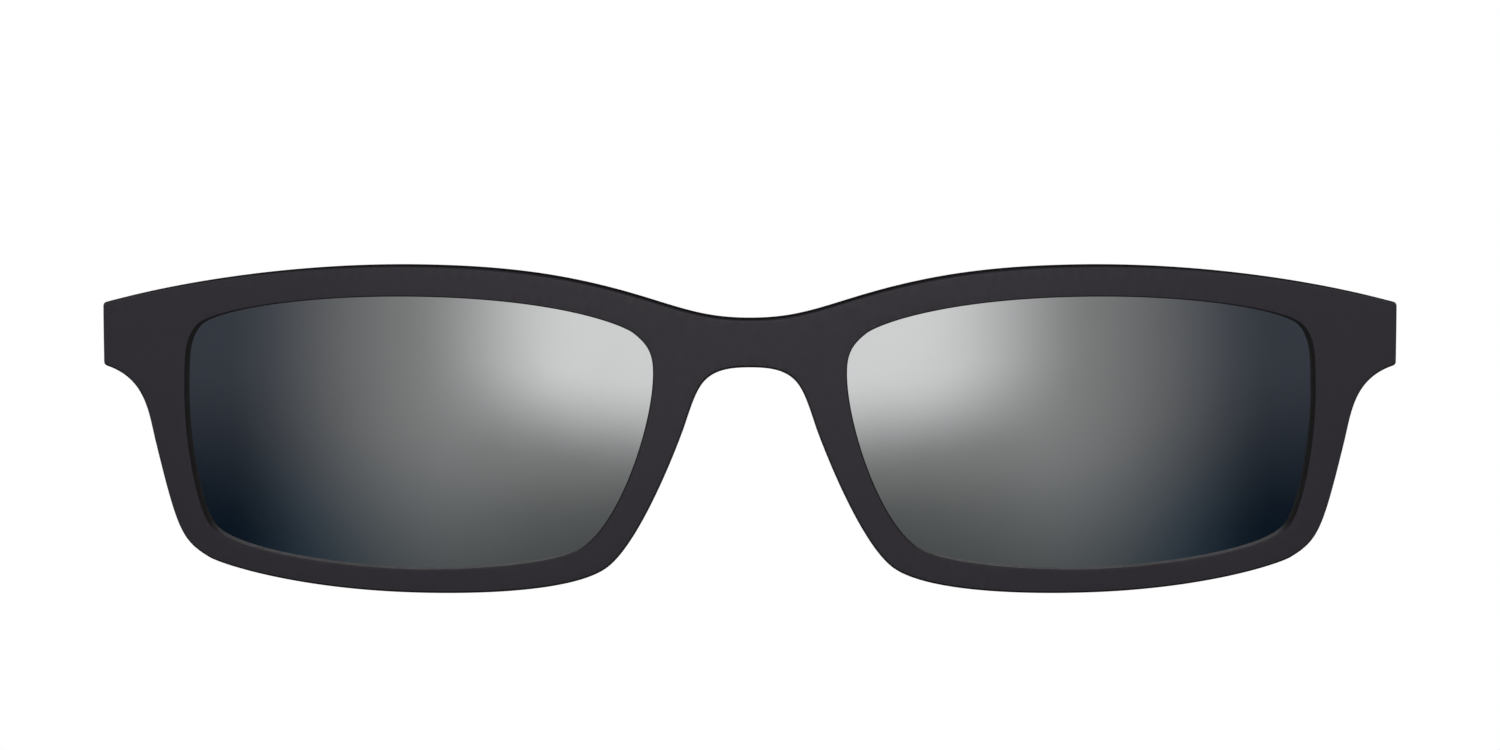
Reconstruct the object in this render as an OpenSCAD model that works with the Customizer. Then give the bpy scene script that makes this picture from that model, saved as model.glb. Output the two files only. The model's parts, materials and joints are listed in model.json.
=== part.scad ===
// Magnetic clip-on sunglasses: one bent front that carries two mirrored sun lenses and is held on a
// pair of glasses by five disc magnets set in its back.
//
// Frame: millimetres, +Z up, -Y is the front that faces the world, +Y is the wearer's side and +X is
// the wearer's left. The origin is the middle of the bridge magnet's rear face.
//
// Outlines are drawn flat, as (distance along the front's curve, height), and then wrapped round a
// vertical axis behind the wearer's head, so that every wall runs straight towards that axis. The faces
// of the front and of the lenses are parts of balls about one point on the axis, so that the front is
// bent both ways and the lenses lie parallel to it.

/* [Front] */
// Width of the front, measured along its curve
front_w = 139.2; // [136:0.1:146]
// Radius of the ball that the front face is part of
front_radius = 220; // [180:5:300]
// Height of the ball's middle, level with the widest bulge of the front
crown_z = -14; // [-16:1:-10]
// Thickness of the front
front_t = 2.4; // [2.4:0.1:3.2]
// Height of each end piece at its tip
end_h = 6.55; // [6:0.05:7.4]
// Radius of the end pieces' corners
end_corner_r = 0.35; // [0.2:0.05:0.8]
// How far the tip's lower corner stands in from its upper one
end_lean = 0.17; // [0:0.01:0.3]
// Height of the bridge at its middle
bridge_h = 4.95; // [4.2:0.05:6]
// Rise of the brow above the lens opening
brow_h = 3.16; // [2.4:0.02:4]
// Depth of the rim below the lens opening
rim_h = 2.5; // [2:0.05:3.6]

/* [Lens openings] */
// Width of each lens opening
lens_w = 50; // [48:0.1:51]
// Height of each lens opening
lens_h = 28.6; // [26:0.1:31]
// Distance between the two openings across the bridge
lens_gap = 20.2; // [19:0.1:22]
// Height of the openings' top above the middle of the bridge
lens_top = 4.55; // [4:0.05:5.2]

/* [Lenses] */
// Thickness of each lens
lens_t = 0.8; // [0.6:0.1:1]
// Depth of the lens face behind the front face
lens_recess = 0.7; // [0.5:0.05:0.9]
// How far the rebate reaches past the opening
rebate_lap = 0.95; // [0.8:0.05:1]
// Gap between a lens's edge and the rebate's wall
lens_clearance = 0.05; // [0.02:0.01:0.1]

/* [Magnets] */
// Diameter of each disc magnet
magnet_d = 2.5; // [2:0.1:2.6]
// Thickness of each disc magnet
magnet_t = 1.2; // [0.8:0.1:1.2]
// Gap round a magnet in its pocket
magnet_clearance = 0.05; // [0.02:0.01:0.1]
// Depth of a magnet's rear face below the back of the front
magnet_recess = 0.1; // [0.1:0.01:0.2]
// Distance along the curve from the tip of the front to its outer magnet's centre
magnet_edge = 2.5; // [2.2:0.1:2.8]
// Distance between the two magnets of an end piece
magnet_pitch = 3.6; // [3.3:0.1:3.8]

/* [Hidden] */

// Number of points on each stretch of an outline
stretch_steps = 10;
// Facets of the round surfaces that the part is cut from
front_fn = 720;
magnet_fn = 64;

// The balls that the faces are part of, and where the axis through their middle stands
back_radius = front_radius - front_t;
back_reach = sqrt(pow(back_radius, 2) - pow(crown_z, 2));
axis_y = back_reach + magnet_recess;
lens_front_radius = front_radius - lens_recess;
lens_back_radius = lens_front_radius - lens_t;

// Distances from the axis at which the radial walls begin and end, past both faces of the front
wall_near = front_radius * cos(curve_angle(front_w / 2)) - 2 * front_t;
wall_far = front_radius + front_t;

lens_bottom = lens_top - lens_h;
inner_magnet_s = front_w / 2 - magnet_edge - magnet_pitch;
outer_magnet_s = front_w / 2 - magnet_edge;

frame_colour = [0.19, 0.18, 0.2];
lens_colour = [0.33, 0.36, 0.38];
magnet_colour = [0.76, 0.76, 0.74];

// Angle round the axis of a distance along the front's curve
function curve_angle(s) = s / front_radius * 180 / PI;

// A place given as a share of the lens opening's width and height, from its lower nasal corner
function in_lens(u, v) = [lens_gap / 2 + u * lens_w, lens_bottom + v * lens_h];

// An outline is a list of anchors: [place, heading in degrees, pull before it, pull after it].
// A pull is the length of the curve's handle, as a share of the distance to the next anchor.
opening_anchors = [
    [in_lens(0.496, 1), 180, 0.49, 0.65],
    [in_lens(0.0405, 0.877), 217, 0.06, 0.42],
    [in_lens(0, 0.7075), 272.8, 0.46, 0.27],
    [in_lens(0.142, 0.098), 320.5, 0.265, 0.165],
    [in_lens(0.51, 0), 0, 0.33, 0.3],
    [in_lens(0.94, 0.13), 44.3, 0.17, 0.175],
    [in_lens(1, 0.633), 90, 0.315, 0.46],
    [in_lens(0.973, 0.878), 136.5, 0.283, 0.1]
];

// The outer edge of the wearer's left half, from the top of the bridge round to the bottom of it
end_top = 0.468 * end_h;
end_bottom = end_top - end_h;
end_s = front_w / 2;
half_anchors = [
    [[0, bridge_h / 2], 0, 0, 0.39],
    [[0.527 * lens_gap, lens_top - 0.08], 16.6, 0.4, 0.33],
    [in_lens(0.496, 1) + [0, brow_h], 0, 0.405, 0.38],
    [[end_s - end_corner_r, end_top + 0.1], 344.6, 0.25, 0.39],
    [[end_s, end_top - end_corner_r], 268.5, 0.39, 0.33],
    [[end_s - end_lean, end_bottom + end_corner_r], 268.5, 0.33, 0.39],
    [[end_s - end_lean - end_corner_r, end_bottom - 0.1], 195.5, 0.39, 0.486],
    [in_lens(1.069, 0.444), 255.7, 0.326, 0.707],
    [in_lens(0.952, 0.019), 208.4, 0.27, 0.057],
    [in_lens(0.494, 0) - [0, rim_h], 180, 0.584, 0.265],
    [in_lens(0.096, 0.019), 142.5, 0.224, 0.274],
    [in_lens(-0.0655, 0.539), 108.2, 0.057, 0.51],
    [[0.212 * lens_gap, -bridge_h / 2 - 1], 142.5, 0.25, 0.312],
    [[0, -bridge_h / 2], 180, 0.396, 0]
];

function direction(heading) = [cos(heading), sin(heading)];

// Point at share t of the cubic curve between two anchors
function stretch_point(a, b, t) =
    let (
        reach = norm(b[0] - a[0]),
        out = a[0] + a[3] * reach * direction(a[1]),
        back = b[0] - b[2] * reach * direction(b[1])
    )
    pow(1 - t, 3) * a[0] + 3 * pow(1 - t, 2) * t * out + 3 * (1 - t) * t * t * back + pow(t, 3) * b[0];

// Points along the curve through a list of anchors, without the last anchor's own place
function open_curve(anchors) = [
    for (i = [0 : len(anchors) - 2])
    for (k = [0 : stretch_steps - 1])
    stretch_point(anchors[i], anchors[i + 1], k / stretch_steps)
];

function closed_curve(anchors) = open_curve(concat(anchors, [anchors[0]]));

// The half outline and its mirror image, joined into one ring
function both_halves(points, last) = concat(
    points,
    [last],
    [for (i = [len(points) - 1 : -1 : 1]) [-points[i][0], points[i][1]]]
);

// A flat outline's points on a plane at a distance from the axis, as the wrapped outline meets it
function at_distance(points, distance) = [
    for (p = points) [distance * tan(curve_angle(p[0])), p[1]]
];

outer_points = both_halves(open_curve(half_anchors), [0, -bridge_h / 2]);
opening_points = closed_curve(opening_anchors);

// Everything inside an outline, with walls that run straight towards the axis
module radial_prism(points, grow = 0) {
    translate([0, axis_y - wall_near, 0])
    rotate([90, 0, 0])
    linear_extrude(height = wall_far - wall_near, scale = [wall_far / wall_near, 1])
    offset(delta = grow)
    polygon(at_distance(points, wall_near));
}

// A ball about the point on the axis that all the curved faces share
module ball(radius) {
    translate([0, axis_y, crown_z])
    sphere(r = radius, $fn = front_fn);
}

module on_side(side) {
    mirror([side == "right" ? 1 : 0, 0, 0])
    children();
}

// Puts something on the back of the front, with +Y square to the back and away from it
module on_back(s) {
    translate([0, axis_y, 0])
    rotate([0, 0, curve_angle(s)])
    translate([0, -back_reach, 0])
    children();
}

module magnet_pocket(s) {
    pocket_depth = magnet_recess + magnet_t;
    on_back(s)
    translate([0, front_t, 0])
    rotate([90, 0, 0])
    cylinder(d = magnet_d + 2 * magnet_clearance, h = front_t + pocket_depth, $fn = magnet_fn);
}

module lens_opening() {
    radial_prism(opening_points);
}

// The step behind the opening that the lens is set into from the back
module lens_rebate() {
    intersection() {
        radial_prism(opening_points, rebate_lap);
        ball(lens_front_radius);
    }
}

module front_frame() {
    color(frame_colour)
    difference() {
        intersection() {
            difference() {
                ball(front_radius);
                ball(back_radius);
            }
            radial_prism(outer_points);
        }
        for (side = ["right", "left"])
        on_side(side) {
            lens_opening();
            lens_rebate();
            magnet_pocket(inner_magnet_s);
            magnet_pocket(outer_magnet_s);
        }
        magnet_pocket(0);
    }
}

module lens(side) {
    color(lens_colour)
    on_side(side)
    intersection() {
        difference() {
            ball(lens_front_radius);
            ball(lens_back_radius);
        }
        radial_prism(opening_points, rebate_lap - lens_clearance);
    }
}

module magnet(s) {
    color(magnet_colour)
    on_back(s)
    translate([0, -magnet_recess, 0])
    rotate([90, 0, 0])
    cylinder(d = magnet_d, h = magnet_t, $fn = magnet_fn);
}

module right_lens() {
    lens("right");
}

module left_lens() {
    lens("left");
}

module bridge_magnet() {
    magnet(0);
}

module right_inner_magnet() {
    magnet(-inner_magnet_s);
}

module right_outer_magnet() {
    magnet(-outer_magnet_s);
}

module left_inner_magnet() {
    magnet(inner_magnet_s);
}

module left_outer_magnet() {
    magnet(outer_magnet_s);
}

front_frame();
right_lens();
left_lens();
bridge_magnet();
right_inner_magnet();
right_outer_magnet();
left_inner_magnet();
left_outer_magnet();
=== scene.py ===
"""Looks of the magnetic clip-on sunglasses: rounded front, mirrored lenses, plated magnets and the studio.

Sizes of the object are millimetres and turn into Blender's metres when a mesh is made. The front's outlines
are drawn flat, as (distance along the curve, height), and then wrapped round the axis that it is bent to.
"""

import json
import math

import bpy
import numpy as np
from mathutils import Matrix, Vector
from mathutils.geometry import delaunay_2d_cdt


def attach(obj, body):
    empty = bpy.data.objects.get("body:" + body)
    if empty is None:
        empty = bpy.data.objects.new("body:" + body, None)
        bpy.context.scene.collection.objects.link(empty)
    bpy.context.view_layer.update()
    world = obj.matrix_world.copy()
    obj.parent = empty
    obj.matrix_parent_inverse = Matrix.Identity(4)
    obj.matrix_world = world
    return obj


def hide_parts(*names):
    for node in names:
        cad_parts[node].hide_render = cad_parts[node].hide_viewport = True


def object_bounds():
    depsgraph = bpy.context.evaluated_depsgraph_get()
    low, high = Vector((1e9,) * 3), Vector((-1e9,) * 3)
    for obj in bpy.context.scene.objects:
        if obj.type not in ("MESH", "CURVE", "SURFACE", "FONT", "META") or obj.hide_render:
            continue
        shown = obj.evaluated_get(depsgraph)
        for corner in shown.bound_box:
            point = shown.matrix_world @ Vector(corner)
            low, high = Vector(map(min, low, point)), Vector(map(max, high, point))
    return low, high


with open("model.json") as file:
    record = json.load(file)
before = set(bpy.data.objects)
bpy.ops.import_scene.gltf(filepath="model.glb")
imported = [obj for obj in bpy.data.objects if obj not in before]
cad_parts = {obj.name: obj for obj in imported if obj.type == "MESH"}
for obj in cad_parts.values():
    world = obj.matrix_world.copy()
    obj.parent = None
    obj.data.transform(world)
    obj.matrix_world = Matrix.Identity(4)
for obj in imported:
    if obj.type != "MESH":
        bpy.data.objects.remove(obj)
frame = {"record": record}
cad_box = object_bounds()

MM = 0.001

# ---------------------------------------------------------------- sizes, as the CAD part has them

FRONT_W = 139.2
FRONT_RADIUS = 220.0
CROWN_Z = -14.0
FRONT_T = 2.4
END_H = 6.55
END_CORNER_R = 0.35
END_LEAN = 0.17
BRIDGE_H = 4.95
BROW_H = 3.16
RIM_H = 2.5

LENS_W = 50.0
LENS_H = 28.6
LENS_GAP = 20.2
LENS_TOP = 4.55
LENS_BOTTOM = LENS_TOP - LENS_H

LENS_T = 0.8
LENS_RECESS = 0.7
REBATE_LAP = 0.95
LENS_CLEARANCE = 0.05

MAGNET_D = 2.5
MAGNET_T = 1.2
MAGNET_CLEARANCE = 0.05
MAGNET_RECESS = 0.1

# All the curved faces are parts of balls about one point on an axis this far behind the row's origin
BACK_RADIUS = FRONT_RADIUS - FRONT_T
AXIS_Y = math.sqrt(BACK_RADIUS**2 - CROWN_Z**2) + MAGNET_RECESS

# Small roundings that the CAD part leaves square
FRONT_EDGE_R = 0.26
LIP_EDGE_R = 0.14
BACK_EDGE_R = 0.2
REBATE_EDGE_R = 0.1
LENS_BEVEL = 0.12
MAGNET_EDGE_R = 0.15
POCKET_BEVEL = 0.08

# Spacing of points along outlines and over broad faces, steps round an edge, on a disc and across a lens
OUTLINE_STEP = 0.4
FACE_STEP = 1.3
ROUND_STEPS = 6
DISC_STEPS = 64
LENS_RINGS = 26
# Radii of a magnet's inner rings, on its rear face and on its hidden face
REAR_RING_RADII = (0.3, 0.7)
HIDDEN_RING_R = 0.5
# Faces that meet at more than this angle keep a sharp edge
CREASE_DEG = 30

# ---------------------------------------------------------------- looks

FRAME_DARK, FRAME_LIGHT = (0.0242, 0.0209, 0.0264), (0.0268, 0.0234, 0.0294)
# Painted shade: the much darker colour that the openings' walls and the edges facing down are blended to
FRAME_PAINTED_SHADE = (0.006, 0.0054, 0.0066)
PLASTIC_IOR, LENS_IOR = 1.5, 1.58
# Sizes across of the patches in the plastic, and depths of its bumps
CLOUD_MM, GRAIN_MM, SATIN_MM, PEEL_MM = 14.0, 0.16, 1.1, 0.9
PEEL_DEPTH_MM, GRAIN_DEPTH_MM = 0.004, 0.0012
# Roughness, and what is taken off or added where an edge is polished, an opening is matte or a rim has rubbed
SATIN_ROUGHNESS = 0.48
SATIN_SPREAD = 0.04
EDGE_POLISH = 0.12
RECESS_DULLNESS = 0.4
MIRROR_ROUGHNESS, SMOKE_ROUGHNESS = (0.05, 0.08), (0.06, 0.1)
GROUND_ROUGHNESS, NICKEL_ROUGHNESS = (0.45, 0.6), (0.2, 0.3)
NICKEL_WEAR = 0.12
CLOUD_SHARE, GRAIN_SHARE = 0.6, 0.4
# The middle of a noise's range, over which colours and roughness run
NOISE_MIDDLE = (0.3, 0.7)
MIRROR_DARK, MIRROR_LIGHT = (0.79, 0.795, 0.8), (0.81, 0.815, 0.82)
MIRROR_REFLECTANCE = 0.8
SMOKE_DARK, SMOKE_LIGHT = (0.010, 0.012, 0.016), (0.014, 0.016, 0.02)
EDGE_DARK, EDGE_LIGHT = (0.02, 0.022, 0.026), (0.035, 0.038, 0.042)
NICKEL_DARK, NICKEL_LIGHT = (0.62, 0.6, 0.56), (0.74, 0.72, 0.68)

# Brightness of each part of the studio that the lenses reflect
PANEL_LIGHT = 0.395
PANEL_SLANT = 0.12
WASH_LIGHT = 0.155
WASH_DIP = 0.35
HAZE_LIGHT = 0.03
SIDE_LIGHT = 0.33
HOOD_LIGHT = 0.45
ROOF_LIGHT = 0.06
REAR_LIGHT = 0.5
FLOOR_LIGHT = 0.003

# Camera, lights and floor. Places and sizes in metres, powers in watts
CAMERA_DISTANCE = 0.6
CAMERA_ELEVATION = 7
CAMERA_AIM = Vector((0, 0.00265, -0.00386))
VIEW_WIDTH = 0.15673
SENSOR_WIDTH = 36
FRONT_LIGHT_PLACE, FRONT_LIGHT_POWER, FRONT_LIGHT_SIZE = (0, -1.5, 0.33), 11.6, (0.6, 0.3)
BACK_LIGHT_PLACE, BACK_LIGHT_POWER, BACK_LIGHT_SIZE = (0, 1.3, -0.15), 14, (0.8, 0.5)
FLOOR_HEIGHT = -1.25
FLOOR_HALF = 2.4
FLOOR_GREY = (0.5, 0.5, 0.5, 1)

# ---------------------------------------------------------------- outlines


def in_lens(u, v):
    """A place given as a share of the lens opening's width and height, from its lower nasal corner."""
    return LENS_GAP / 2 + u * LENS_W, LENS_BOTTOM + v * LENS_H


def shifted(place, dx, dz):
    return place[0] + dx, place[1] + dz


# Each anchor: place, heading in degrees, pull before it, pull after it
OPENING = [
    (in_lens(0.496, 1), 180, 0.49, 0.65),
    (in_lens(0.0405, 0.877), 217, 0.06, 0.42),
    (in_lens(0, 0.7075), 272.8, 0.46, 0.27),
    (in_lens(0.142, 0.098), 320.5, 0.265, 0.165),
    (in_lens(0.51, 0), 0, 0.33, 0.3),
    (in_lens(0.94, 0.13), 44.3, 0.17, 0.175),
    (in_lens(1, 0.633), 90, 0.315, 0.46),
    (in_lens(0.973, 0.878), 136.5, 0.283, 0.1),
]

END_S = FRONT_W / 2
END_TOP = 0.468 * END_H
END_BOTTOM = END_TOP - END_H
LEFT_HALF = [
    ((0, BRIDGE_H / 2), 0, 0, 0.39),
    ((0.527 * LENS_GAP, LENS_TOP - 0.08), 16.6, 0.4, 0.33),
    (shifted(in_lens(0.496, 1), 0, BROW_H), 0, 0.405, 0.38),
    ((END_S - END_CORNER_R, END_TOP + 0.1), 344.6, 0.25, 0.39),
    ((END_S, END_TOP - END_CORNER_R), 268.5, 0.39, 0.33),
    ((END_S - END_LEAN, END_BOTTOM + END_CORNER_R), 268.5, 0.33, 0.39),
    ((END_S - END_LEAN - END_CORNER_R, END_BOTTOM - 0.1), 195.5, 0.39, 0.486),
    (in_lens(1.069, 0.444), 255.7, 0.326, 0.707),
    (in_lens(0.952, 0.019), 208.4, 0.27, 0.057),
    (shifted(in_lens(0.494, 0), 0, -RIM_H), 180, 0.584, 0.265),
    (in_lens(0.096, 0.019), 142.5, 0.224, 0.274),
    (in_lens(-0.0655, 0.539), 108.2, 0.057, 0.51),
    ((0.212 * LENS_GAP, -BRIDGE_H / 2 - 1), 142.5, 0.25, 0.312),
    ((0, -BRIDGE_H / 2), 180, 0.396, 0),
]


def direction(heading):
    angle = math.radians(heading)
    return np.array([math.cos(angle), math.sin(angle)])


def stretch(a, b):
    """Points and unit tangents of the cubic curve between two anchors, without its last point."""
    start, end = np.array(a[0], float), np.array(b[0], float)
    reach = np.linalg.norm(end - start)
    out = start + a[3] * reach * direction(a[1])
    back = end - b[2] * reach * direction(b[1])
    steps = max(ROUND_STEPS, round(reach / OUTLINE_STEP))
    t = np.linspace(0, 1, steps, endpoint=False)[:, None]
    points = (1 - t) ** 3 * start + 3 * (1 - t) ** 2 * t * out + 3 * (1 - t) * t**2 * back + t**3 * end
    slope = (1 - t) ** 2 * (out - start) + 2 * (1 - t) * t * (back - out) + t**2 * (end - back)
    return points, slope / np.linalg.norm(slope, axis=1, keepdims=True)


def outline(anchors):
    """Points of an open chain of anchors and, for each, the unit normal on the left of the way it runs."""
    parts = [stretch(a, b) for a, b in zip(anchors, anchors[1:])]
    points = np.concatenate([p for p, _ in parts])
    tangents = np.concatenate([t for _, t in parts])
    return points, np.stack([-tangents[:, 1], tangents[:, 0]], axis=1)


def mirrored(points, normals):
    """The outline on the wearer's right, running the same way round."""
    flip = np.array([-1, 1])
    return points[::-1] * flip, normals[::-1] * flip


def whole_outline():
    """The outer edge of the whole front, clockwise, so that its left normals point out of the plastic."""
    points, normals = outline(LEFT_HALF)
    bottom_point, bottom_normal = np.array([[0, -BRIDGE_H / 2]]), np.array([[0.0, -1.0]])
    other_points, other_normals = mirrored(points[1:], normals[1:])
    return (
        np.concatenate([points, bottom_point, other_points]),
        np.concatenate([normals, bottom_normal, other_normals]),
    )


def opening_outline(side):
    """The edge of a lens opening, anticlockwise, so that its left normals point out of the plastic."""
    points, normals = outline(OPENING + OPENING[:1])
    return (points, normals) if side == "left" else mirrored(points, normals)


# ---------------------------------------------------------------- the bent surfaces


def wrapped(flat, depth):
    """Places in the row frame, in metres, of flat points at a depth behind the front face."""
    angle = flat[:, 0] / FRONT_RADIUS
    rho = np.sqrt((FRONT_RADIUS - depth) ** 2 - (flat[:, 1] - CROWN_Z) ** 2)
    return np.stack([rho * np.sin(angle), AXIS_Y - rho * np.cos(angle), flat[:, 1]], axis=1) * MM


def disc_ring(s, radius, depth, steps=DISC_STEPS):
    """A ring about a magnet's axis, at a depth in front of the plane that the magnet's rear face lies in."""
    angle = s / FRONT_RADIUS
    across = np.array([math.cos(angle), math.sin(angle), 0])
    inward = np.array([-math.sin(angle), math.cos(angle), 0])
    rear = np.array([AXIS_Y * math.sin(angle), AXIS_Y - AXIS_Y * math.cos(angle), 0])
    disc = circle((0, 0), radius, steps)
    return (rear + disc[:, :1] * across + disc[:, 1:] * np.array([0, 0, 1]) - depth * inward) * MM


class Skin:
    """A closed mesh built up from rings of points that share their vertices."""

    def __init__(self):
        self.places = []
        self.marks = []
        self.faces = []
        self.slots = []
        self.count = 0

    def ring(self, flat, depth, mark=0.0):
        """Adds a ring and returns its vertices' numbers. mark is 1 on a polished edge, -1 where matte and
        darkened with painted shade.
        """
        depth = np.broadcast_to(depth, len(flat))
        return self.points(wrapped(flat, depth), mark)

    def points(self, places, mark=0.0):
        first = self.count
        self.places.append(places)
        self.marks.append(np.broadcast_to(mark, len(places)))
        self.count += len(places)
        return np.arange(first, self.count)

    def face(self, corners, slot=0):
        self.faces.append([int(c) for c in corners])
        self.slots.append(slot)

    def strip(self, a, b, slot=0):
        """Joins two rings of the same length with quads."""
        for i in range(len(a)):
            j = (i + 1) % len(a)
            self.face((a[i], a[j], b[j], b[i]), slot)

    def fan(self, ring, centre, slot=0):
        for i in range(len(ring)):
            self.face((ring[i], ring[(i + 1) % len(ring)], centre), slot)

    def build(self, name, materials):
        """Makes the Blender object, with smooth shading and creases left sharp, and faces wound as given."""
        mesh = bpy.data.meshes.new(name)
        mesh.from_pydata(np.concatenate(self.places).tolist(), [], self.faces)
        mesh.update()
        marks = np.concatenate(self.marks).astype(np.float32)
        for kind, values in (("rounded_edge", marks), ("matte_and_painted_shade", -marks)):
            attribute = mesh.attributes.new(kind, "FLOAT", "POINT")
            attribute.data.foreach_set("value", np.maximum(values, 0))
        for material in materials:
            mesh.materials.append(material)
        mesh.polygons.foreach_set("material_index", self.slots)
        mesh.polygons.foreach_set("use_smooth", [True] * len(self.faces))
        mesh.set_sharp_from_angle(angle=math.radians(CREASE_DEG))
        piece = bpy.data.objects.new(name, mesh)
        bpy.context.scene.collection.objects.link(piece)
        weighted = piece.modifiers.new("Even normals", "WEIGHTED_NORMAL")
        weighted.keep_sharp = True
        return piece


def inside(points, ring):
    """Which points lie inside a flat ring, by counting the edges that a ray to the right crosses."""
    x, z = points[:, :1], points[:, 1:]
    a, b = ring, np.roll(ring, -1, axis=0)
    spans = (a[:, 1] > z) != (b[:, 1] > z)
    rise = np.where(a[:, 1] == b[:, 1], 1.0, b[:, 1] - a[:, 1])
    crossing = a[:, 0] + (z - a[:, 1]) * (b[:, 0] - a[:, 0]) / rise
    return (spans & (x < crossing)).sum(axis=1) % 2 == 1


def clear_of(points, ring, gap):
    """Which points are further than a gap from every point of a ring."""
    return np.array([np.hypot(*(ring - p).T).min() > gap for p in points], bool)


def broad_face(skin, outer, holes, depth, flipped):
    """Fills between one flat ring and the holes in it. outer and holes are (flat points, vertex numbers)."""
    rings = [outer] + holes
    low, high = outer[0].min(axis=0), outer[0].max(axis=0)
    across = np.arange(low[0] + FACE_STEP / 2, high[0], FACE_STEP)
    up = np.arange(low[1] + FACE_STEP / 2, high[1], FACE_STEP)
    grid = np.stack(np.meshgrid(across, up), axis=-1).reshape(-1, 2)
    grid = grid[inside(grid, outer[0])]
    for flat, _ in holes:
        grid = grid[~inside(grid, flat)]
    for flat, _ in rings:
        grid = grid[clear_of(grid, flat, FACE_STEP / 2)]
    grid_numbers = skin.ring(grid, depth)
    flat = np.concatenate([r[0] for r in rings] + [grid])
    numbers = np.concatenate([r[1] for r in rings] + [grid_numbers])
    edges, first = [], 0
    for ring, _ in rings:
        n = len(ring)
        edges += [(first + i, first + (i + 1) % n) for i in range(n)]
        first += n
    made = delaunay_2d_cdt([Vector(p) for p in flat], edges, [], 0, 1e-7)
    places, triangles, sources = np.array(made[0]), np.array(made[2]), made[3]
    middle = places[triangles].mean(axis=1)
    keep = inside(middle, outer[0])
    for hole, _ in holes:
        keep &= ~inside(middle, hole)
    for triangle in triangles[keep]:
        corners = [numbers[sources[c][0]] for c in triangle]
        skin.face(corners[::-1] if flipped else corners)


def rounded_in(skin, points, normals, radius, depth_of_face, inward, mark=1.0):
    """Rings that turn from a broad face into a wall. inward is +1 from the front and -1 from the back."""
    rings = []
    for k in range(ROUND_STEPS + 1):
        turn = math.radians(90) * k / ROUND_STEPS
        inset = radius * (1 - math.sin(turn))
        drop = radius * (1 - math.cos(turn))
        flat = points - normals * inset
        rings.append((flat, skin.ring(flat, depth_of_face + inward * drop, mark if k else 0.0)))
    return rings


def stack(skin, rings):
    """Joins each ring to the next one."""
    for a, b in zip(rings, rings[1:]):
        skin.strip(a, b)


def circle(centre, radius, steps=DISC_STEPS):
    turn = np.linspace(0, 2 * math.pi, steps, endpoint=False)[:, None]
    return np.array(centre) + radius * np.concatenate([np.cos(turn), np.sin(turn)], axis=1)


def magnet_places():
    """Distance along the front's curve of each magnet, from the mounts that the record gives."""
    places = {}
    for mount in frame["record"]["mounts"]:
        x, y, _ = mount["pos_m"]
        angle = math.atan2(x, AXIS_Y * MM - y)
        places[mount["name"].removesuffix("_face")] = angle * FRONT_RADIUS
    return places


# ---------------------------------------------------------------- materials


class Nodes:
    """Short calls for a material's node tree."""

    def __init__(self, name):
        self.material = bpy.data.materials.new(name)
        self.material.use_nodes = True
        self.tree = self.material.node_tree
        self.shader = self.tree.nodes["Principled BSDF"]

    def add(self, kind, **settings):
        node = self.tree.nodes.new(kind)
        for key, value in settings.items():
            setattr(node, key, value)
        return node

    def link(self, source, target):
        self.tree.links.new(source, target)

    def set(self, **values):
        for name, value in values.items():
            self.shader.inputs[name.replace("_", " ")].default_value = value

    def place(self):
        return self.add("ShaderNodeTexCoord").outputs["Object"]

    def noise(self, size_mm, detail=3.0, roughness=0.5):
        """Noise whose patches are about size_mm across."""
        node = self.add("ShaderNodeTexNoise")
        self.link(self.place(), node.inputs["Vector"])
        node.inputs["Scale"].default_value = 1 / (size_mm * MM)
        node.inputs["Detail"].default_value = detail
        node.inputs["Roughness"].default_value = roughness
        return node.outputs["Fac"]

    def between(self, factor, low, high):
        """A number that runs from low to high as the factor runs over the middle of its range."""
        node = self.add("ShaderNodeMapRange")
        self.link(factor, node.inputs["Value"])
        node.inputs["From Min"].default_value = NOISE_MIDDLE[0]
        node.inputs["From Max"].default_value = NOISE_MIDDLE[1]
        node.inputs["To Min"].default_value = low
        node.inputs["To Max"].default_value = high
        return node.outputs["Result"]

    def colours(self, factor, low, high):
        """Blends low into high as the factor goes from 0 to 1. Each is a colour or a node's output."""
        node = self.add("ShaderNodeMix", data_type="RGBA")
        self.link(factor, node.inputs["Factor"])
        for socket, colour in ((node.inputs["A"], low), (node.inputs["B"], high)):
            if isinstance(colour, tuple):
                socket.default_value = (*colour, 1)
            else:
                self.link(colour, socket)
        return node.outputs["Result"]

    def maths(self, operation, a, b):
        node = self.add("ShaderNodeMath", operation=operation)
        for value, socket in zip((a, b), node.inputs):
            if isinstance(value, (int, float)):
                socket.default_value = value
            else:
                self.link(value, socket)
        return node.outputs["Value"]

    def bump(self, height, depth_mm, before=None):
        node = self.add("ShaderNodeBump")
        node.inputs["Distance"].default_value = depth_mm * MM
        self.link(height, node.inputs["Height"])
        if before is not None:
            self.link(before, node.inputs["Normal"])
        return node.outputs["Normal"]


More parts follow.
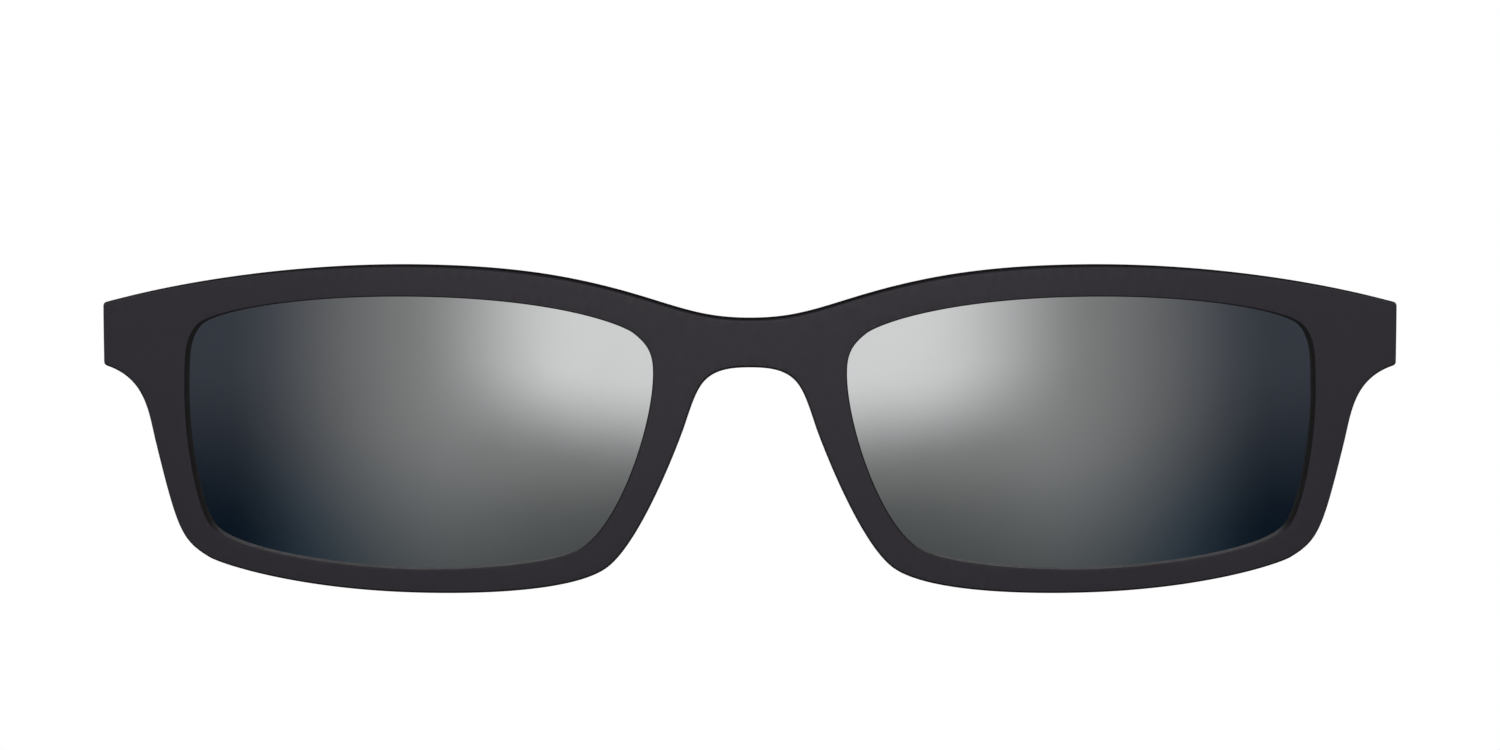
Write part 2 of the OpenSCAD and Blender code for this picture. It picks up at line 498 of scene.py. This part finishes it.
def satin_plastic():
    """Tumbled graphite plastic: a fine grain, faint clouding, polished edges, and matte openings and
    down-facing edges darkened with painted shade.
    """
    m = Nodes("Satin graphite plastic")
    edge = m.add("ShaderNodeAttribute", attribute_name="rounded_edge").outputs["Fac"]
    matte_and_painted_shade = m.add("ShaderNodeAttribute", attribute_name="matte_and_painted_shade").outputs["Fac"]
    clouds = m.noise(CLOUD_MM)
    grain = m.noise(GRAIN_MM, detail=2.0)
    tone = m.maths("ADD", m.maths("MULTIPLY", clouds, CLOUD_SHARE), m.maths("MULTIPLY", grain, GRAIN_SHARE))
    outside = m.colours(m.between(tone, 0, 1), FRAME_DARK, FRAME_LIGHT)
    # Painted shade: the colour is blended to a much darker one on the openings' walls and on the edges that
    # face down
    m.link(m.colours(matte_and_painted_shade, outside, FRAME_PAINTED_SHADE), m.shader.inputs["Base Color"])
    satin = m.between(m.noise(SATIN_MM), SATIN_ROUGHNESS - SATIN_SPREAD, SATIN_ROUGHNESS + SATIN_SPREAD)
    dulled = m.maths("MULTIPLY", matte_and_painted_shade, RECESS_DULLNESS)
    polish = m.maths("SUBTRACT", m.maths("MULTIPLY", edge, EDGE_POLISH), dulled)
    m.link(m.maths("SUBTRACT", satin, polish), m.shader.inputs["Roughness"])
    peel = m.bump(m.noise(PEEL_MM, detail=1.0), PEEL_DEPTH_MM)
    m.link(m.bump(grain, GRAIN_DEPTH_MM, before=peel), m.shader.inputs["Normal"])
    m.set(IOR=PLASTIC_IOR)
    return m.material


def mirror_coat():
    """The lens's silver front: a metal film with the faint clouding of a vapour coat."""
    m = Nodes("Silver mirror coat")
    haze = m.noise(9.0, detail=2.0)
    m.link(m.colours(m.between(haze, 0, 1), MIRROR_DARK, MIRROR_LIGHT), m.shader.inputs["Base Color"])
    m.link(m.between(m.noise(3.0), *MIRROR_ROUGHNESS), m.shader.inputs["Roughness"])
    m.set(Metallic=1.0)
    return m.material


def smoke_back():
    """The lens's polished inner face: dark grey-blue plastic."""
    m = Nodes("Smoke lens plastic")
    tint = m.noise(12.0, detail=2.0)
    m.link(m.colours(m.between(tint, 0, 1), SMOKE_DARK, SMOKE_LIGHT), m.shader.inputs["Base Color"])
    m.link(m.between(m.noise(4.0), *SMOKE_ROUGHNESS), m.shader.inputs["Roughness"])
    m.set(IOR=LENS_IOR)
    return m.material


def ground_edge():
    """The lens's edge, cut and left dull."""
    m = Nodes("Ground lens edge")
    marks = m.noise(0.12, detail=2.0)
    m.link(m.colours(m.between(marks, 0, 1), EDGE_DARK, EDGE_LIGHT), m.shader.inputs["Base Color"])
    m.link(m.between(marks, *GROUND_ROUGHNESS), m.shader.inputs["Roughness"])
    m.link(m.bump(marks, 0.003), m.shader.inputs["Normal"])
    return m.material


def nickel_plate():
    """Nickel over a pressed magnet: bright, faintly mottled, a little duller where the rim has rubbed."""
    m = Nodes("Nickel plate")
    edge = m.add("ShaderNodeAttribute", attribute_name="rounded_edge").outputs["Fac"]
    mottle = m.noise(0.35)
    m.link(m.colours(m.between(mottle, 0, 1), NICKEL_DARK, NICKEL_LIGHT), m.shader.inputs["Base Color"])
    m.link(
        m.maths("ADD", m.between(m.noise(0.2), *NICKEL_ROUGHNESS), m.maths("MULTIPLY", edge, NICKEL_WEAR)),
        m.shader.inputs["Roughness"],
    )
    m.link(m.bump(mottle, 0.002), m.shader.inputs["Normal"])
    m.set(Metallic=1.0)
    return m.material


# ---------------------------------------------------------------- pieces


def front_frame(material):
    """The bent front: rounded outer edge, two openings with a lip and a rebate, and the magnets' pockets."""
    skin = Skin()
    points, normals = whole_outline()
    # Edges that face up are polished, and those that face down are matte and darkened with painted shade
    polish = normals[:, 1]
    front = rounded_in(skin, points, normals, FRONT_EDGE_R, 0, 1, mark=polish)
    back = rounded_in(skin, points, normals, BACK_EDGE_R, FRONT_T, -1, mark=polish)
    stack(skin, [r[1] for r in front] + [r[1] for r in back[::-1]])
    front_holes, back_holes = [], []
    for side in ("left", "right"):
        points, normals = opening_outline(side)
        # The walls are matte and darkened with painted shade all round but for the sill, whose normals face
        # up
        matte_and_painted_shade = -np.clip(2 * (1 - normals[:, 1]), 0, 1)
        lip = rounded_in(skin, points, normals, LIP_EDGE_R, 0, 1, mark=matte_and_painted_shade)
        wall_foot = skin.ring(points, LENS_RECESS, mark=matte_and_painted_shade)
        step = points - normals * REBATE_LAP
        step_foot = skin.ring(step, LENS_RECESS, mark=matte_and_painted_shade)
        rebate = rounded_in(skin, step, normals, REBATE_EDGE_R, FRONT_T, -1)
        stack(skin, [r[1] for r in lip] + [wall_foot, step_foot] + [r[1] for r in rebate[::-1]])
        front_holes.append(lip[0])
        back_holes.append(rebate[0])
    pocket_r = MAGNET_D / 2 + MAGNET_CLEARANCE
    for s in magnet_places().values():
        mouth = circle((s, 0), pocket_r + POCKET_BEVEL)
        rings = [
            skin.ring(mouth, FRONT_T, mark=1.0),
            skin.ring(circle((s, 0), pocket_r), FRONT_T - POCKET_BEVEL, mark=1.0),
            skin.points(disc_ring(s, pocket_r, MAGNET_T)),
        ]
        stack(skin, rings[::-1])
        hub = skin.points(disc_ring(s, 0, MAGNET_T, steps=1))[0]
        skin.fan(rings[-1][::-1], hub)
        back_holes.append((mouth, rings[0]))
    broad_face(skin, front[0], front_holes, 0, flipped=False)
    broad_face(skin, back[0], back_holes, FRONT_T, flipped=True)
    return skin.build("front_shell", [material])


def lens(side, coat, smoke, ground):
    """A lens cut from two balls with one centre, with a bevel round both of its faces."""
    skin = Skin()
    points, normals = opening_outline(side)
    rim = points - normals * (REBATE_LAP - LENS_CLEARANCE)
    inner = rim + normals * LENS_BEVEL
    middle = np.array([[rim[:, 0].mean(), rim[:, 1].mean()]])
    faces = {}
    for slot, depth in ((0, LENS_RECESS), (1, LENS_RECESS + LENS_T)):
        rings = [skin.ring(inner + (middle - inner) * k / LENS_RINGS, depth) for k in range(LENS_RINGS)]
        hub = skin.ring(middle, depth)[0]
        faces[slot] = rings
        for a, b in zip(rings, rings[1:]):
            skin.strip(*((a, b) if slot == 0 else (b, a)), slot=slot)
        skin.fan(rings[-1] if slot == 0 else rings[-1][::-1], hub, slot=slot)
    front_corner = skin.ring(rim, LENS_RECESS + LENS_BEVEL, mark=1.0)
    back_corner = skin.ring(rim, LENS_RECESS + LENS_T - LENS_BEVEL, mark=1.0)
    for a, b in ((front_corner, faces[0][0]), (back_corner, front_corner), (faces[1][0], back_corner)):
        skin.strip(a, b, slot=2)
    return skin.build(f"{side}_mirror_lens", [coat, smoke, ground])


def magnet(name, s, material):
    """A plated disc with rounded rims, square to the back of the front at its place on the curve.

    Known fault: its faces are wound so that their normals point into the disc, unlike the other pieces'.
    """
    skin = Skin()

    def ring(radius, depth, mark=0.0):
        return skin.points(disc_ring(s, radius, depth), mark)

    rings = [ring(radius, 0) for radius in REAR_RING_RADII]
    for k in range(ROUND_STEPS + 1):
        turn = math.radians(90) * k / ROUND_STEPS
        drop = MAGNET_EDGE_R * (1 - math.cos(turn))
        rings.append(ring(MAGNET_D / 2 - MAGNET_EDGE_R * (1 - math.sin(turn)), drop, mark=1.0))
    for k in range(ROUND_STEPS, -1, -1):
        turn = math.radians(90) * k / ROUND_STEPS
        drop = MAGNET_EDGE_R * (1 - math.cos(turn))
        rings.append(ring(MAGNET_D / 2 - MAGNET_EDGE_R * (1 - math.sin(turn)), MAGNET_T - drop, mark=1.0))
    rings.append(ring(HIDDEN_RING_R, MAGNET_T))
    hubs = [skin.points(disc_ring(s, 0, depth, steps=1))[0] for depth in (0, MAGNET_T)]
    stack(skin, rings[::-1])
    skin.fan(rings[0], hubs[0])
    skin.fan(rings[-1][::-1], hubs[1])
    return skin.build(f"{name}_disc", [material])


# ---------------------------------------------------------------- studio


def studio_world():
    """White behind the object, and for its reflections a soft front light between two dark navy sides."""
    world = bpy.data.worlds.new("Studio")
    world.use_nodes = True
    bpy.context.scene.world = world
    tree = world.node_tree
    tree.nodes.clear()

    def add(kind, **settings):
        node = tree.nodes.new(kind)
        for key, value in settings.items():
            setattr(node, key, value)
        return node

    def maths(operation, a, b=0.0):
        node = add("ShaderNodeMath", operation=operation)
        for value, socket in zip((a, b), node.inputs):
            if isinstance(value, (int, float)):
                socket.default_value = value
            else:
                tree.links.new(value, socket)
        return node.outputs["Value"]

    def ramp(angle, start, end, low=0.0, high=1.0):
        """Eases from low to high as an angle goes from start to end, in degrees."""
        node = add("ShaderNodeMapRange", interpolation_type="SMOOTHSTEP")
        tree.links.new(angle, node.inputs["Value"])
        node.inputs["From Min"].default_value = math.radians(min(start, end))
        node.inputs["From Max"].default_value = math.radians(max(start, end))
        node.inputs["To Min"].default_value = low if start < end else high
        node.inputs["To Max"].default_value = high if start < end else low
        return node.outputs["Result"]

    def product(first, *others):
        for other in others:
            first = maths("MULTIPLY", first, other)
        return first

    def tinted(strength, colour):
        node = add("ShaderNodeVectorMath", operation="SCALE")
        node.inputs[0].default_value = colour
        tree.links.new(strength, node.inputs["Scale"])
        return node.outputs["Vector"]

    def total(vectors):
        while len(vectors) > 1:
            node = add("ShaderNodeVectorMath", operation="ADD")
            tree.links.new(vectors[0], node.inputs[0])
            tree.links.new(vectors[1], node.inputs[1])
            vectors = vectors[2:] + [node.outputs["Vector"]]
        return vectors[0]

    split = add("ShaderNodeSeparateXYZ")
    tree.links.new(add("ShaderNodeTexCoord").outputs["Generated"], split.inputs["Vector"])
    x, y, z = split.outputs
    # Angle away from the front, to either side, and angle above the horizon
    aside = maths("ARCTAN2", maths("ABSOLUTE", x), maths("MULTIPLY", y, -1.0))
    above = maths("ARCSINE", z)

    def band(outer_low, inner_low, inner_high, outer_high, strength=1.0):
        """A soft-edged band of angles away from the front."""
        rise = ramp(aside, outer_low, inner_low, high=strength)
        return maths("MULTIPLY", rise, ramp(aside, outer_high, inner_high))

    # In front: a bright panel with a slanted lower edge, in a wider wash that weakens low in the middle
    front_top = ramp(above, 50, 28)
    slanted = maths("SUBTRACT", above, maths("MULTIPLY", aside, PANEL_SLANT))
    panel = product(ramp(aside, 22, 10.5, high=PANEL_LIGHT), ramp(slanted, -8.7, -2.2), front_top)
    dip = product(ramp(aside, 24, 7, high=WASH_DIP), ramp(above, -6, -11))
    wash = product(ramp(aside, 34.5, 18, high=WASH_LIGHT), ramp(above, -18, -4, 0.35, 1.15), front_top)
    wash = product(wash, maths("SUBTRACT", 1.0, dip))
    # Further round: a faint haze, then navy. Low down: a cool edge between them, and a touch of teal
    haze = product(ramp(aside, 60, 36, high=HAZE_LIGHT), ramp(above, -12, 0))
    blue = product(band(22, 32, 60, 90), ramp(above, -13, 1, 0.7, 1.2))
    cool = product(band(14, 27, 28, 34), ramp(above, -4, -11))
    teal = product(ramp(aside, 36, 24), ramp(above, -3, -13))
    # Past what the lenses reflect from the front: what lights the plastic's edges, and the back
    sides = product(band(40, 58, 85, 105, SIDE_LIGHT), ramp(above, -30, 0))
    hood = product(ramp(aside, 55, 30, high=HOOD_LIGHT), ramp(above, 9, 15), ramp(above, 42, 27))
    roof = ramp(above, 50, 75, high=ROOF_LIGHT)
    rear = product(ramp(aside, 115, 150, high=REAR_LIGHT), ramp(above, -3, -13), ramp(above, -60, -35))
    parts = [
        tinted(panel, (1, 1, 1)),
        tinted(wash, (1, 1.02, 1.02)),
        tinted(haze, (1.05, 1, 1)),
        tinted(blue, (0, 0.006, 0.015)),
        tinted(cool, (-0.004, 0, 0.007)),
        tinted(teal, (-0.003, 0.0012, 0.001)),
        tinted(sides, (1, 1, 1)),
        tinted(hood, (1, 1, 1)),
        tinted(roof, (1, 1, 1)),
        tinted(rear, (1, 1, 1)),
        tinted(ramp(above, -89, -88), (FLOOR_LIGHT, FLOOR_LIGHT, FLOOR_LIGHT)),
    ]
    studio = add("ShaderNodeBackground")
    tree.links.new(total(parts), studio.inputs["Color"])
    studio.inputs["Strength"].default_value = 1 / MIRROR_REFLECTANCE
    white = add("ShaderNodeBackground")
    white.inputs["Color"].default_value = (1, 1, 1, 1)
    mix = add("ShaderNodeMixShader")
    tree.links.new(add("ShaderNodeLightPath").outputs["Is Camera Ray"], mix.inputs["Fac"])
    tree.links.new(studio.outputs["Background"], mix.inputs[1])
    tree.links.new(white.outputs["Background"], mix.inputs[2])
    tree.links.new(mix.outputs["Shader"], add("ShaderNodeOutputWorld").inputs["Surface"])


def soft_light(name, place, power, size):
    """A rectangular soft light that faces the object's middle and doesn't show in the lenses."""
    data = bpy.data.lights.new(name, "AREA")
    data.shape = "RECTANGLE"
    data.size, data.size_y = size
    data.energy = power
    light = bpy.data.objects.new(name, data)
    light.location = place
    light.rotation_mode = "QUATERNION"
    light.rotation_quaternion = (middle - Vector(place)).to_track_quat("-Z", "Y")
    light.visible_camera = False
    light.visible_glossy = False
    bpy.context.scene.collection.objects.link(light)


def pale_floor(height):
    """A floor far below the object, white to the camera and pale to everything else."""
    material = bpy.data.materials.new("Pale floor")
    material.use_nodes = True
    tree = material.node_tree
    shader = tree.nodes["Principled BSDF"]
    shader.inputs["Base Color"].default_value = FLOOR_GREY
    shader.inputs["Roughness"].default_value = 0.9
    glow = tree.nodes.new("ShaderNodeEmission")
    path = tree.nodes.new("ShaderNodeLightPath")
    mix = tree.nodes.new("ShaderNodeMixShader")
    tree.links.new(path.outputs["Is Camera Ray"], mix.inputs["Fac"])
    tree.links.new(shader.outputs["BSDF"], mix.inputs[1])
    tree.links.new(glow.outputs["Emission"], mix.inputs[2])
    tree.links.new(mix.outputs["Shader"], tree.nodes["Material Output"].inputs["Surface"])
    mesh = bpy.data.meshes.new("floor")
    signs = ((-1, -1), (1, -1), (1, 1), (-1, 1))
    corners = [(FLOOR_HALF * x, FLOOR_HALF * y, height) for x, y in signs]
    mesh.from_pydata(corners, [], [(0, 1, 2, 3)])
    mesh.materials.append(material)
    floor = bpy.data.objects.new("floor", mesh)
    bpy.context.scene.collection.objects.link(floor)
    return floor


def camera():
    """A long lens a little above the object's own level, aimed above its middle as the picture is framed."""
    data = bpy.data.cameras.new("Camera")
    data.sensor_width = SENSOR_WIDTH
    data.lens = data.sensor_width * CAMERA_DISTANCE / VIEW_WIDTH
    data.clip_start, data.clip_end = 0.01, 20
    made = bpy.data.objects.new("Camera", data)
    rise = math.radians(CAMERA_ELEVATION)
    away = Vector((0, -math.cos(rise), math.sin(rise)))
    made.location = CAMERA_AIM + away * CAMERA_DISTANCE
    made.rotation_mode = "QUATERNION"
    made.rotation_quaternion = (-away).to_track_quat("-Z", "Y")
    bpy.context.scene.collection.objects.link(made)
    bpy.context.scene.camera = made


# ---------------------------------------------------------------- the scene

low, high = cad_box
middle = (low + high) / 2

plastic = satin_plastic()
coat, smoke, ground = mirror_coat(), smoke_back(), ground_edge()
nickel = nickel_plate()

shell = front_frame(plastic)
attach(shell, "root")
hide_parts("front_frame")

for side in ("left", "right"):
    piece = lens(side, coat, smoke, ground)
    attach(piece, "root")
    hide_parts(f"{side}_lens")

for name, s in magnet_places().items():
    piece = magnet(name, s, nickel)
    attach(piece, "root")
    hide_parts(name)

pale_floor(FLOOR_HEIGHT)
studio_world()
soft_light("Front soft light", FRONT_LIGHT_PLACE, FRONT_LIGHT_POWER, FRONT_LIGHT_SIZE)
soft_light("Back soft light", BACK_LIGHT_PLACE, BACK_LIGHT_POWER, BACK_LIGHT_SIZE)
bpy.context.scene.view_settings.view_transform = "Standard"
camera()
